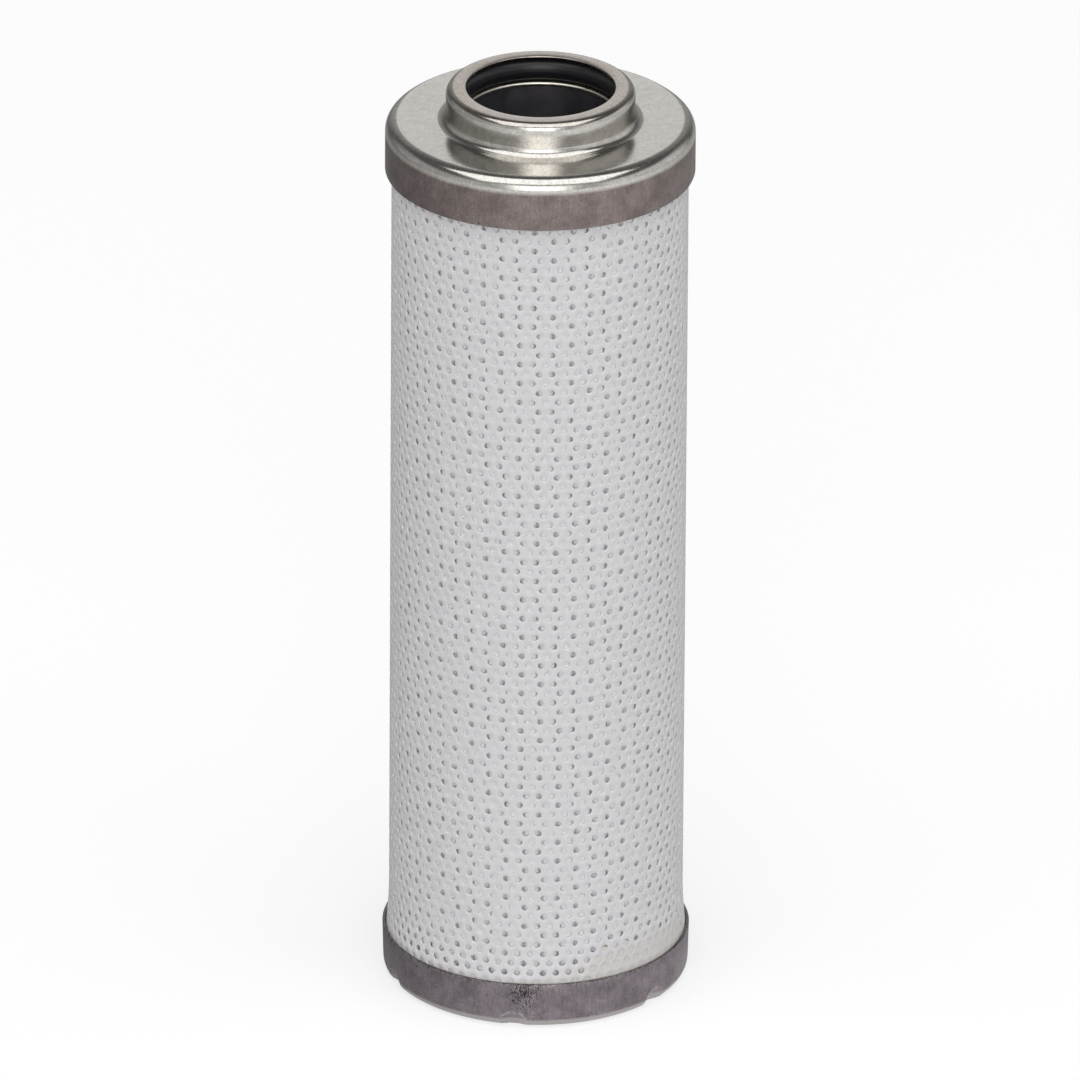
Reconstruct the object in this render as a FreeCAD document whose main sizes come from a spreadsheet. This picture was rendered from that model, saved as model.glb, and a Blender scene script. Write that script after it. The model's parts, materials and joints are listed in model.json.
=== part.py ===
"""Hydraulic filter element: a pleated glass-fibre element under a perforated sleeve.

It stands on its closed bottom cap, with the axis on +Z and the origin at the middle of the
base. The front is -Y. All sizes are in millimetres.
"""

import FreeCAD, Part
import math
import os
import re
import Sketcher

DOC = FreeCAD.newDocument("hydraulic_filter")

# Driving sizes: name, value and what it measures
DRIVING = [
    ("total_height", 147.0, "base to the top of the neck's lip"),
    ("cap_diameter", 47.0, "top cap, and the open rim of the bottom cap"),
    ("sheet_thickness", 0.5, "tin-plated steel sheet of both caps"),
    ("neck_height", 5.2, "neck above the flat of the top cap"),
    ("lip_opening", 22.6, "hole in the neck's lip and in the ring below the seal"),
    ("lip_corner_radius", 1.0, "bend from the neck to its lip"),
    ("neck_root_radius", 1.45, "bend from the flat to the neck"),
    ("shoulder_radius", 1.6, "bend from the flat to the skirt"),
    ("top_skirt_depth", 8.2, "flat of the top cap to the edge of its skirt"),
    ("bottom_skirt_depth", 7.5, "base to the rim of the bottom cap"),
    ("bottom_corner_radius", 1.4, "bend from the base to the skirt"),
    ("rim_flare", 0.15, "how far the bottom cap opens out up to its rim"),
    ("notch_count", 6, "dents pressed into the bottom corner"),
    ("notch_radius", 3.0, "nose of the tool that presses a dent"),
    ("notch_depth", 1.4, "dent's depth, from the sharp corner inwards at 45 degrees"),
    ("notch_bearing", -8.9, "first dent's angle from the front, in degrees towards +X"),
    ("seal_height", 3.5, "section of the neck's seal along the axis"),
    ("seal_width", 2.7, "section of the seal across, where the neck presses it"),
    ("seal_reach", 0.2, "how far the seal stands in past the lip's edge"),
    ("seal_play", 0.3, "free height above the seal"),
    ("ring_thickness", 0.7, "pressed ring that carries the seal"),
    ("ring_flange_width", 3.5, "ring's flange under the top cap's flat"),
    ("ring_edge_radius", 0.28, "rounded inner edge of the ring"),
    ("core_wall", 0.8, "wall of the core tube"),
    ("core_side_gap", 0.4, "space between the core tube and the ring around its end"),
    ("core_hole_width", 3.8, "core tube's holes, across their corners"),
    ("core_hole_columns", 8, "holes in one row around the core tube"),
    ("core_hole_rows", 12, "rows of holes along the core tube"),
    ("core_blank_length", 6.0, "core tube without holes beyond the potting, at each end"),
    ("potting_depth", 3.0, "adhesive in each cap, along the axis"),
    ("potting_recess", 0.4, "adhesive's edge below the edge of a skirt"),
    ("glue_film", 0.5, "adhesive space between the sleeve and a skirt"),
    ("film_thickness", 0.4, "plastic film of the outer sleeve"),
    ("lap_width", 6.0, "welded lap of the sleeve, around it"),
    ("lap_step", 0.1, "how far the pressed lap stands out"),
    ("sleeve_hole_width", 3.6, "sleeve's holes, across their corners"),
    ("sleeve_hole_columns", 10, "holes in one row around the sleeve"),
    ("sleeve_hole_rows", 12, "rows of holes along the sleeve"),
    ("sleeve_blank_length", 5.0, "sleeve without holes past the edge of each cap"),
    ("outer_mesh_thickness", 0.14, "coated wire mesh on the oil's inlet side"),
    ("prefilter_thickness", 0.12, "coarse glass-fibre layer"),
    ("media_thickness", 0.16, "fine glass-fibre layer"),
    ("fleece_thickness", 0.08, "polyester fleece behind the glass fibre"),
    ("inner_mesh_thickness", 0.12, "coated wire mesh on the core's side"),
    ("pleat_play", 0.33, "free width beside the two legs of a pleat at the core"),
    ("pleat_opening", 0.6, "gap between two crests under the sleeve"),
    ("pleat_bearing", 179.1, "side seam's angle from the front, in degrees towards +X"),
    ("crest_chamfer", 0.3, "how far a crest's corners are rounded off"),
    ("clip_thickness", 0.25, "steel strip of the side seam's clip"),
    ("clip_depth", 3.5, "clip's reach from the crests towards the core"),
    ("assembly_gap", 0.05, "clearance between two pieces that are put together"),
]

# Worked-out sizes: name and the formula that ties it to the driving ones
DERIVED = [
    ("cap_radius", "cap_diameter / 2"),
    ("foot_radius", "cap_radius - rim_flare"),
    ("opening_radius", "lip_opening / 2"),
    ("seal_inner_radius", "opening_radius - seal_reach"),
    ("seal_outer_radius", "seal_inner_radius + seal_width"),
    ("neck_bore_radius", "seal_outer_radius + assembly_gap"),
    ("neck_radius", "neck_bore_radius + sheet_thickness"),
    ("plate_top", "total_height - neck_height"),
    ("plate_bottom", "plate_top - sheet_thickness"),
    ("top_rim", "plate_top - top_skirt_depth"),
    ("skirt_bore_radius", "cap_radius - sheet_thickness"),
    ("inner_shoulder_radius", "shoulder_radius - sheet_thickness"),
    ("ring_outer_radius", "neck_bore_radius - assembly_gap"),
    ("ring_top", "total_height - sheet_thickness - seal_play - seal_height"),
    ("ring_underside", "ring_top - ring_thickness"),
    ("ring_inner_radius", "ring_outer_radius - ring_thickness"),
    ("flange_radius", "ring_outer_radius + ring_flange_width"),
    ("flange_underside", "plate_bottom - ring_thickness"),
    ("core_outer_radius", "ring_inner_radius - core_side_gap - assembly_gap"),
    ("core_inner_radius", "core_outer_radius - core_wall"),
    ("sleeve_outer_radius", "skirt_bore_radius - glue_film"),
    ("sleeve_inner_radius", "sleeve_outer_radius - film_thickness"),
    ("glue_inner_radius", "sleeve_outer_radius + lap_step + assembly_gap"),
    ("glue_outer_radius", "skirt_bore_radius - assembly_gap"),
    ("potting_inner_radius", "core_outer_radius + assembly_gap"),
    ("pack_bottom", "sheet_thickness + potting_depth"),
    ("pack_top", "plate_bottom - potting_depth"),
    ("pack_length", "pack_top - pack_bottom"),
    ("pack_inner_radius", "core_outer_radius + assembly_gap"),
    ("pack_outer_radius", "sleeve_inner_radius - assembly_gap"),
    ("pleat_thickness", "outer_mesh_thickness + prefilter_thickness + media_thickness"
                        " + fleece_thickness + inner_mesh_thickness"),
    ("clip_mouth_half", "pleat_thickness + 1.5 * assembly_gap"),
    ("clip_half", "clip_mouth_half + clip_thickness"),
    ("clip_back", "sqrt(pack_outer_radius ^ 2 - clip_half ^ 2)"),
    ("clip_web", "clip_back - clip_thickness"),
    ("clip_mouth", "clip_back - clip_depth"),
]

# The layers of the pleated pack in the order in which the oil passes them
LAYERS = [
    ("outer_support_mesh", "outer_mesh_thickness"),
    ("prefilter_layer", "prefilter_thickness"),
    ("glass_fibre_media", "media_thickness"),
    ("backing_fleece", "fleece_thickness"),
    ("inner_support_mesh", "inner_mesh_thickness"),
]


def make_sheet():
    """Put the driving sizes in the sheet as numbers, and the worked-out ones as formulas."""
    sheet = DOC.addObject("Spreadsheet::Sheet", "Sizes")
    rows = [(name, repr(value), note) for name, value, note in DRIVING]
    rows += [(name, "=" + formula, "worked out") for name, formula in DERIVED]
    for row, (name, content, note) in enumerate(rows, start=1):
        sheet.set("A%d" % row, name)
        sheet.set("B%d" % row, content)
        sheet.set("C%d" % row, note)
        sheet.setAlias("B%d" % row, name)
    DOC.recompute()
    return sheet


SIZES = make_sheet()
NAMES = {row[0] for row in DRIVING + DERIVED}


def bound(formula):
    """The formula with each size's name pointed at the sheet."""
    return re.sub(r"[a-z_]+", lambda word: ("Sizes." if word[0] in NAMES else "") + word[0],
                  formula)


def size(formula):
    """The formula's value, as a plain number."""
    value = SIZES.evalExpression(bound(formula))
    return float(getattr(value, "Value", value))


def new_body(label):
    body = DOC.addObject("PartDesign::Body", label)
    body.Label = label
    return body


def sketch_on(body, role, height="0"):
    """An empty sketch on one of the body's own origin planes, raised by a bound height."""
    sketch = body.newObject("Sketcher::SketchObject", "sketch")
    plane = next(item for item in body.Origin.OriginFeatures if item.Role == role)
    sketch.AttachmentSupport = [(plane, "")]
    sketch.MapMode = "FlatFace"
    sketch.setExpression("AttachmentOffset.Base.z", bound(height))
    return sketch


def fix_point(sketch, line, end, across, up):
    """Place one end of a line by two bound distances from the sketch's origin."""
    for kind, formula, axis in (("DistanceX", across, -2), ("DistanceY", up, -1)):
        if formula == "0":
            sketch.addConstraint(Sketcher.Constraint("PointOnObject", line, end, axis))
            continue
        index = sketch.addConstraint(
            Sketcher.Constraint(kind, -1, 1, line, end, size(formula)))
        name = "%s_%d" % (kind.lower(), line)
        sketch.renameConstraint(index, name)
        sketch.setExpression("Constraints." + name, bound(formula))


def outline_sketch(body, points, role="XZ_Plane"):
    """A closed outline of straight lines through points given as bound formulas."""
    sketch = sketch_on(body, role)
    corners = [FreeCAD.Vector(size(across), size(up), 0) for across, up in points]
    for start, finish in zip(corners, corners[1:] + corners[:1]):
        sketch.addGeometry(Part.LineSegment(start, finish))
    for line in range(len(points)):
        following = (line + 1) % len(points)
        sketch.addConstraint(Sketcher.Constraint("Coincident", line, 2, following, 1))
    for line, (across, up) in enumerate(points):
        fix_point(sketch, line, 1, across, up)
    return sketch


def circle_sketch(body, radius, height):
    """A circle about the axis, at a bound height."""
    sketch = sketch_on(body, "XY_Plane", height)
    axis = FreeCAD.Vector(0, 0, 1)
    sketch.addGeometry(Part.Circle(FreeCAD.Vector(0, 0, 0), axis, size(radius)))
    sketch.addConstraint(Sketcher.Constraint("Coincident", 0, 3, -1, 1))
    sketch.addConstraint(Sketcher.Constraint("Radius", 0, size(radius)))
    sketch.renameConstraint(1, "radius")
    sketch.setExpression("Constraints.radius", bound(radius))
    return sketch


def revolve(body, points):
    """Turn an outline of (radius, height) formulas about the axis."""
    sketch = outline_sketch(body, points)
    turned = body.newObject("PartDesign::Revolution", "turned")
    turned.Profile = sketch
    turned.ReferenceAxis = (sketch, ["V_Axis"])
    turned.Angle = 360
    DOC.recompute()
    return turned


def pad(body, sketch, length):
    feature = body.newObject("PartDesign::Pad", "pad")
    feature.Profile = sketch
    feature.setExpression("Length", bound(length))
    DOC.recompute()
    return feature


def ring_edge(feature, radius, height):
    """The name of the round edge about the axis at this radius and height."""
    for number, edge in enumerate(feature.Shape.Edges, start=1):
        curve = edge.Curve
        if (isinstance(curve, Part.Circle)
                and abs(curve.Radius - size(radius)) < 1e-4
                and abs(curve.Center.z - size(height)) < 1e-4):
            return "Edge%d" % number
    raise ValueError("no edge at radius %s and height %s" % (radius, height))


def round_edges(body, feature, places, radius):
    """Fillet the round edges at the given (radius, height) places."""
    fillet = body.newObject("PartDesign::Fillet", "bend")
    fillet.Base = (feature, [ring_edge(feature, *place) for place in places])
    fillet.setExpression("Radius", bound(radius))
    DOC.recompute()
    return fillet


def cut_away(body, sketch, length, symmetric=False):
    """Pocket a sketch, and make sure that it took material."""
    before = body.Shape.Volume
    pocket = body.newObject("PartDesign::Pocket", "cut")
    pocket.Profile = sketch
    pocket.SideType = "Symmetric" if symmetric else "One side"
    pocket.setExpression("Length", bound(length))
    DOC.recompute()
    if not body.Shape.Volume < before - 1e-6:
        raise ValueError("the cut in %s takes nothing away" % body.Label)
    return pocket


def around_axis(body, feature, count):
    """Repeat a feature evenly about the axis."""
    pattern = body.newObject("PartDesign::PolarPattern", "around")
    pattern.Originals = [feature]
    vertical = next(item for item in body.Origin.OriginFeatures if item.Role == "Z_Axis")
    pattern.Axis = (vertical, [""])
    pattern.Angle = 360
    pattern.setExpression("Occurrences", bound(count))
    body.Tip = pattern
    DOC.recompute()
    return pattern


def combine(kind, label, base, tool):
    """A cut or a common of two objects, as an object with its own label."""
    result = DOC.addObject(kind, label)
    result.Label = label
    result.Base = base
    result.Tool = tool
    DOC.recompute()
    return result


def tube(label, inner, outer, bottom, length):
    """A plain tube: a disc padded to its length, with its bore cut through."""
    body = new_body(label)
    pad(body, circle_sketch(body, outer, bottom), length)
    cut_away(body, circle_sketch(body, inner, "%s + %s" % (bottom, length)), length)
    return body


# Top end cap: one drawn sheet with a skirt, a flat and a neck whose lip turns in
def top_end_cap():
    body = new_body("top_end_cap")
    pad(body, circle_sketch(body, "cap_radius", "top_rim"), "top_skirt_depth")
    drawn = pad(body, circle_sketch(body, "neck_radius", "plate_top"), "neck_height")
    drawn = round_edges(body, drawn, [("cap_radius", "plate_top")], "shoulder_radius")
    drawn = round_edges(body, drawn, [("neck_radius", "plate_top")], "neck_root_radius")
    drawn = round_edges(body, drawn, [("neck_radius", "total_height")], "lip_corner_radius")
    shell = body.newObject("PartDesign::Thickness", "sheet")
    open_side = min(range(len(drawn.Shape.Faces)),
                    key=lambda number: drawn.Shape.Faces[number].CenterOfMass.z)
    shell.Base = (drawn, ["Face%d" % (open_side + 1)])
    shell.Reversed = True
    shell.setExpression("Value", bound("sheet_thickness"))
    DOC.recompute()
    cut_away(body, circle_sketch(body, "opening_radius", "total_height"),
             "2 * sheet_thickness")
    return body


def cap_form(label, inset, top):
    """The bottom cap's form, moved inwards by an inset: its outside, its inside or its filling.

    The dents follow the inset, so that the sheet has one thickness in them too.
    """
    body = new_body(label)
    form = revolve(body, [
        ("0", inset),
        ("foot_radius - (%s)" % inset, inset),
        ("foot_radius - (%s) + rim_flare * (%s) / bottom_skirt_depth" % (inset, top), top),
        ("0", top)])
    round_edges(body, form, [("foot_radius - (%s)" % inset, inset)],
                "bottom_corner_radius - (%s)" % inset)
    axis_offset = "(notch_radius - notch_depth) / sqrt(2)"
    sketch = circle_sketch(body, "notch_radius + (%s)" % inset, "-" + axis_offset)
    sketch.setExpression("AttachmentOffset.Base.x", bound("foot_radius + " + axis_offset))
    sketch.AttachmentOffset = FreeCAD.Placement(
        sketch.AttachmentOffset.Base, FreeCAD.Rotation(FreeCAD.Vector(0, 1, 0), 45))
    dent = cut_away(body, sketch, "8 * notch_radius", symmetric=True)
    around_axis(body, dent, "notch_count")
    body.Placement.Rotation = FreeCAD.Rotation(
        FreeCAD.Vector(0, 0, 1), size("notch_bearing") - 90)
    DOC.recompute()
    return body


# Bottom end cap: a closed pressed cup with dents around its corner
def bottom_end_cap():
    outside = cap_form("cap_outside", "0 * sheet_thickness", "bottom_skirt_depth")
    inside = cap_form("cap_inside", "sheet_thickness", "bottom_skirt_depth + 1")
    return combine("Part::Cut", "bottom_end_cap", outside, inside)


# Potting in the bottom cap: it holds the pack's end and runs up between sleeve and skirt
def bottom_adhesive():
    filling = cap_form("filling", "sheet_thickness + assembly_gap", "bottom_skirt_depth + 1")
    ring = new_body("bottom_ring")
    edge = "bottom_skirt_depth - potting_recess"
    revolve(ring, [
        ("potting_inner_radius", "0"), ("cap_radius", "0"), ("cap_radius", edge),
        ("glue_inner_radius", edge), ("glue_inner_radius", "pack_bottom"),
        ("potting_inner_radius", "pack_bottom")])
    return combine("Part::Common", "bottom_adhesive", filling, ring)


# Potting in the top cap, stepped under the ring's flange
def top_adhesive():
    body = new_body("top_adhesive")
    edge = "top_rim + potting_recess"
    beside_flange = "flange_radius + assembly_gap"
    form = revolve(body, [
        ("potting_inner_radius", "pack_top"), ("glue_inner_radius", "pack_top"),
        ("glue_inner_radius", edge), ("glue_outer_radius", edge),
        ("glue_outer_radius", "plate_bottom"), (beside_flange, "plate_bottom"),
        (beside_flange, "flange_underside"), ("potting_inner_radius", "flange_underside")])
    round_edges(body, form, [("glue_outer_radius", "plate_bottom")], "inner_shoulder_radius")
    return body


# Ring that carries the seal: a hat whose flange lies under the flat and whose top is holed
def seal_support_ring():
    body = new_body("seal_support_ring")
    form = revolve(body, [
        ("opening_radius", "ring_underside"), ("ring_inner_radius", "ring_underside"),
        ("ring_inner_radius", "flange_underside"), ("flange_radius", "flange_underside"),
        ("flange_radius", "plate_bottom"), ("ring_outer_radius", "plate_bottom"),
        ("ring_outer_radius", "ring_top"), ("opening_radius", "ring_top")])
    round_edges(body, form, [("opening_radius", "ring_underside"),
                             ("opening_radius", "ring_top")], "ring_edge_radius")
    return body


# Neck seal: a rubber ring, pressed a little oval between the spigot and the neck
def neck_seal_ring():
    body = new_body("neck_seal_ring")
    sketch = sketch_on(body, "XZ_Plane")
    centre = "(seal_outer_radius + seal_inner_radius) / 2"
    middle = "ring_top + seal_height / 2"
    upright = size("seal_height") >= size("seal_width")
    longer, shorter = ("seal_height", "seal_width")[::1 if upright else -1]
    point = FreeCAD.Vector(size(centre), size(middle), 0)
    along = FreeCAD.Vector(0, 1, 0) if upright else FreeCAD.Vector(1, 0, 0)
    across = FreeCAD.Vector(0, 0, 1).cross(along)
    sketch.addGeometry(Part.Ellipse(
        point + along * (size(longer) / 2), point + across * (size(shorter) / 2), point))
    sketch.exposeInternalGeometry(0)
    sketch.addConstraint(Sketcher.Constraint("Vertical" if upright else "Horizontal", 1))
    for name, kind, ends, formula in (
            ("centre_across", "DistanceX", (-1, 1, 0, 3), centre),
            ("centre_up", "DistanceY", (-1, 1, 0, 3), middle),
            ("longer_axis", "Distance", (1, 1, 1, 2), longer),
            ("shorter_axis", "Distance", (2, 1, 2, 2), shorter)):
        index = sketch.addConstraint(Sketcher.Constraint(kind, *ends, size(formula)))
        sketch.renameConstraint(index, name)
        sketch.setExpression("Constraints." + name, bound(formula))
    turned = body.newObject("PartDesign::Revolution", "turned")
    turned.Profile = sketch
    turned.ReferenceAxis = (sketch, ["V_Axis"])
    turned.Angle = 360
    DOC.recompute()
    return body


def hole_field(label, width, columns, rows, first, last, inner, outer):
    """Six-sided punches through a round wall, in rows that are shifted by half a pitch."""
    middle = (inner + outer) / 2
    reach = outer - inner
    pitch = (last - first) / (rows - 1)
    corners = [FreeCAD.Vector(middle - reach, width / 2 * math.sin(math.radians(60 * step)),
                              width / 2 * math.cos(math.radians(60 * step)))
               for step in range(7)]
    punch = Part.Face(Part.makePolygon(corners)).extrude(FreeCAD.Vector(2 * reach, 0, 0))
    punches = []
    for row in range(rows):
        for column in range(columns):
            copy = punch.copy()
            copy.rotate(FreeCAD.Vector(0, 0, 0), FreeCAD.Vector(0, 0, 1),
                        360 * (column + row % 2 / 2) / columns)
            copy.translate(FreeCAD.Vector(0, 0, first + row * pitch))
            punches.append(copy)
    field = DOC.addObject("Part::Feature", label)
    field.Shape = Part.makeCompound(punches)
    return field


# Core tube: punched steel, standing on the bottom cap and closed above by the ring
def core_tube():
    wall = tube("core_wall_tube", "core_inner_radius", "core_outer_radius",
                "sheet_thickness", "ring_underside - sheet_thickness")
    blank = size("core_blank_length") + size("core_hole_width") / 2
    punches = hole_field(
        "core_punches", size("core_hole_width"), int(size("core_hole_columns")),
        int(size("core_hole_rows")), size("pack_bottom") + blank, size("pack_top") - blank,
        size("core_inner_radius"), size("core_outer_radius"))
    return combine("Part::Cut", "core_tube", wall, punches)


# Outer sleeve: perforated plastic film, closed by a welded lap at the back. The real film
# has 72 holes of 1 mm in each of 80 rows. The solid carries the same staggered pattern with
# fewer and larger holes.
def outer_wrap():
    film = tube("film", "sleeve_inner_radius", "sleeve_outer_radius",
                "pack_bottom", "pack_length")
    lap_ring = tube("lap_ring", "sleeve_outer_radius - film_thickness / 2",
                    "sleeve_outer_radius + lap_step", "pack_bottom", "pack_length")
    strip = DOC.addObject("Part::Box", "strip")
    strip.setExpression("Length", bound("sleeve_outer_radius"))
    strip.setExpression("Width", bound("lap_width"))
    strip.setExpression("Height", bound("pack_length"))
    strip.setExpression("Placement.Base.x", bound("sleeve_inner_radius / 2"))
    strip.setExpression("Placement.Base.y", bound("-lap_width / 2"))
    strip.setExpression("Placement.Base.z", bound("pack_bottom"))
    lap = combine("Part::Common", "lap", lap_ring, strip)
    welded = combine("Part::Fuse", "welded", film, lap)
    blank = size("sleeve_blank_length") + size("sleeve_hole_width") / 2
    punches = hole_field(
        "sleeve_punches", size("sleeve_hole_width"), int(size("sleeve_hole_columns")),
        int(size("sleeve_hole_rows")), size("bottom_skirt_depth") + blank,
        size("top_rim") - blank, size("sleeve_inner_radius"),
        size("sleeve_outer_radius + lap_step"))
    punches.Placement.Rotation = FreeCAD.Rotation(
        FreeCAD.Vector(0, 0, 1), 180 / size("sleeve_hole_columns"))
    wrap = combine("Part::Cut", "outer_wrap", welded, punches)
    wrap.Placement.Rotation = FreeCAD.Rotation(
        FreeCAD.Vector(0, 0, 1), size("pleat_bearing") - 90)
    return wrap


def pleat_count():
    """As many pleats as find room around the core tube."""
    room = 2 * math.pi * size("pack_inner_radius")
    return int(room / (2 * size("pleat_thickness") + size("pleat_play")))


def pleat_face(depth):
    """One face of the folded blanket, as points, at a depth below its inlet side.

    A crest is folded outwards and a trough inwards. The blanket starts and ends in two
    straight legs that lie together in the seam's clip.
    """
    count = pleat_count()
    half_step = math.pi / count
    thickness = size("pleat_thickness")
    outer = size("pack_outer_radius")
    crest_half = outer * math.sin(half_step) - size("pleat_opening") / 2
    crest_height = math.sqrt(outer ** 2 - crest_half ** 2) - depth
    crest_half -= depth
    trough_height = size("pack_inner_radius") / math.cos(half_step) + thickness - depth
    trough_half = size("pleat_play") / 4 + depth
    chamfer = max(0.0, size("crest_chamfer") - depth)
    seam_half = size("assembly_gap") / 2 + thickness - depth
    seam_end = size("clip_web - assembly_gap")
    seam_bend = size("clip_mouth - clip_thickness")
    start = math.radians(size("pleat_bearing") - 90)

    def place(across, along, angle):
        across_x = -math.sin(angle) * across
        across_y = math.cos(angle) * across
        return FreeCAD.Vector(across_x + math.cos(angle) * along,
                              across_y + math.sin(angle) * along, 0)

    crest = [(-crest_half, crest_height - chamfer), (crest_half, crest_height - chamfer)]
    if chamfer:
        crest[1:1] = [(-crest_half + chamfer, crest_height), (crest_half - chamfer, crest_height)]
    points = [place(seam_half, along, start) for along in (seam_end, seam_bend)]
    for pleat in range(1, count + 1):
        trough_angle = start + (2 * pleat - 1) * half_step
        points += [place(side * trough_half, trough_height, trough_angle) for side in (-1, 1)]
        if pleat < count:
            crest_angle = start + 2 * pleat * half_step
            points += [place(across, along, crest_angle) for across, along in crest]
    points += [place(-seam_half, along, start) for along in (seam_bend, seam_end)]
    return points


# Pleated pack: layers that are folded together, each lying on the one outside it
def pleated_layer(label, near, far):
    points = pleat_face(near) + pleat_face(far)[::-1]
    outline = DOC.addObject("Part::Feature", label + "_outline")
    outline.Shape = Part.makePolygon(points + points[:1])
    layer = DOC.addObject("Part::Extrusion", label)
    layer.Label = label
    layer.Base = outline
    layer.DirMode = "Custom"
    layer.Dir = FreeCAD.Vector(0, 0, 1)
    layer.Solid = True
    layer.setExpression("LengthFwd", bound("pack_length"))
    layer.setExpression("Placement.Base.z", bound("pack_bottom"))
    DOC.recompute()
    return layer


def pleated_pack():
    layers = []
    depth = 0.0
    for label, thickness in LAYERS:
        layers.append(pleated_layer(label, depth, depth + size(thickness)))
        depth += size(thickness)
    return layers


# Clip of the side seam: a steel channel pressed over the blanket's two ends
def pleat_seam_clip():
    body = new_body("pleat_seam_clip")
    sketch = outline_sketch(body, [
        ("clip_mouth", "-clip_half"), ("clip_back", "-clip_half"),
        ("clip_back", "clip_half"), ("clip_mouth", "clip_half"),
        ("clip_mouth", "clip_mouth_half"), ("clip_web", "clip_mouth_half"),
        ("clip_web", "-clip_mouth_half"), ("clip_mouth", "-clip_mouth_half")],
        role="XY_Plane")
    sketch.setExpression("AttachmentOffset.Base.z", bound("pack_bottom"))
    pad(body, sketch, "pack_length")
    body.Placement.Rotation = FreeCAD.Rotation(
        FreeCAD.Vector(0, 0, 1), size("pleat_bearing") - 90)
    DOC.recompute()
    return body


def write_parts(pieces):
    """Check every object of the document and every piece, then write one file for each."""
    DOC.recompute()
    for item in DOC.Objects:
        if {"Invalid", "Error"} & set(item.State):
            raise ValueError("%s failed: %s" % (item.Label, item.State))
    for piece in pieces:
        if piece.Shape.isNull() or not piece.Shape.isValid() or not piece.Shape.Solids:
            raise ValueError("%s has no valid solid" % piece.Label)
    os.makedirs("parts", exist_ok=True)
    for piece in pieces:
        piece.Shape.exportStep(os.path.join("parts", piece.Label + ".step"))
        box = piece.Shape.BoundBox
        print("%-20s solids %d  volume %9.2f  x %.2f..%.2f  z %.2f..%.2f" % (
            piece.Label, len(piece.Shape.Solids), piece.Shape.Volume,
            box.XMin, box.XMax, box.ZMin, box.ZMax))


write_parts([
    top_end_cap(),
    bottom_end_cap(),
    neck_seal_ring(),
    seal_support_ring(),
    core_tube(),
    outer_wrap(),
    *pleated_pack(),
    pleat_seam_clip(),
    top_adhesive(),
    bottom_adhesive(),
])
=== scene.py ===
"""Looks of a hydraulic filter element: drawn tin-plated caps, rubber neck seal, perforated
film sleeve over a pleated blanket, and the adhesive that holds its ends.

Every length is in metres in the part's own frame: the base stands on z = 0, the axis is +Z
and the front is -Y. A bearing is an angle around the axis, from the front towards +X.
"""

import json
import math
from functools import partial

import bmesh
import bpy
from bpy.props import FloatProperty, FloatVectorProperty, IntProperty, PointerProperty
from mathutils import Matrix, Vector, noise

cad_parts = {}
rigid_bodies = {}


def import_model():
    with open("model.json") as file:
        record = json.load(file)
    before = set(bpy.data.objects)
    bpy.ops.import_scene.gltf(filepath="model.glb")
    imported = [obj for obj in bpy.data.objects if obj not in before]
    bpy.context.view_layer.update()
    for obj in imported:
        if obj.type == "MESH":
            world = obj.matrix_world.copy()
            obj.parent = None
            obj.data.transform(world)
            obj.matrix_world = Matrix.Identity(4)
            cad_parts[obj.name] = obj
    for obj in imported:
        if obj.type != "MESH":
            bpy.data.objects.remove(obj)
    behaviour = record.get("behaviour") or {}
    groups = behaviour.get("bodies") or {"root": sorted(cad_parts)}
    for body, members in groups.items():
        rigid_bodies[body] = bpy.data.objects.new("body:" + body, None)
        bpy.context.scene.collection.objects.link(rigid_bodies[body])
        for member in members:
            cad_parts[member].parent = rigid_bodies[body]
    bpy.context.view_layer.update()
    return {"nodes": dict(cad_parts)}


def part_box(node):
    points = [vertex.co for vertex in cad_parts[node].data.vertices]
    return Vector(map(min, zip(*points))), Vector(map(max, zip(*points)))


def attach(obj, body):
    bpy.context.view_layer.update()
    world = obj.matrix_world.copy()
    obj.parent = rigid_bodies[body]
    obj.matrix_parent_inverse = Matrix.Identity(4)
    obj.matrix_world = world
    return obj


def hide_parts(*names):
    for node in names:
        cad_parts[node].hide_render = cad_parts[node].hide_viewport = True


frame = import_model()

bl_info = {
    "name": "Hydraulic filter element",
    "version": (1, 0, 0),
    "blender": (4, 5, 0),
    "location": "3D View > Sidebar > Filter",
    "description": "Models the pieces of a pleated hydraulic filter element",
    "category": "Object",
}

MM = 0.001
MERGE = 0.002 * MM
EIGHTH = math.pi / 8        # half the angle of one side of an eight-sided hole


def linear(hex_colour):
    """An sRGB hex colour as the linear colour that a shader takes."""
    channels = [int(hex_colour[place:place + 2], 16) / 255 for place in (1, 3, 5)]
    return tuple(value / 12.92 if value <= 0.04045 else ((value + 0.055) / 1.055) ** 2.4
                 for value in channels) + (1.0,)


def reach(node):
    """A round CAD node's outer radius, lowest and highest level."""
    low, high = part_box(node)
    return high.x, low.z, high.z


CAP_RADIUS, TOP_RIM, TOP = reach("top_end_cap")
BASE_RADIUS, BASE, BOTTOM_RIM = reach("bottom_end_cap")
SEAL_RADIUS, SEAL_FOOT, SEAL_TOP = reach("neck_seal_ring")
FLANGE_RADIUS, RING_FOOT, RING_TOP = reach("seal_support_ring")
CORE_RADIUS, CORE_FOOT, CORE_TOP = reach("core_tube")
PACK_RADIUS, PACK_FOOT, PACK_TOP = reach("outer_support_mesh")
POTTING_TOP = reach("top_adhesive")[2]
GLUE_RADIUS = reach("bottom_adhesive")[0]
PACK_MIDDLE = (PACK_FOOT + PACK_TOP) / 2


def length(name, description, millimetres):
    """A size that the sidebar shows as a distance."""
    return FloatProperty(name=name, description=description, default=millimetres * MM,
                         unit="LENGTH", precision=5)


def angle(name, description, degrees):
    """An angle that the sidebar shows in degrees."""
    return FloatProperty(name=name, description=description, default=math.radians(degrees),
                         unit="ROTATION", precision=4)


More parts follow.
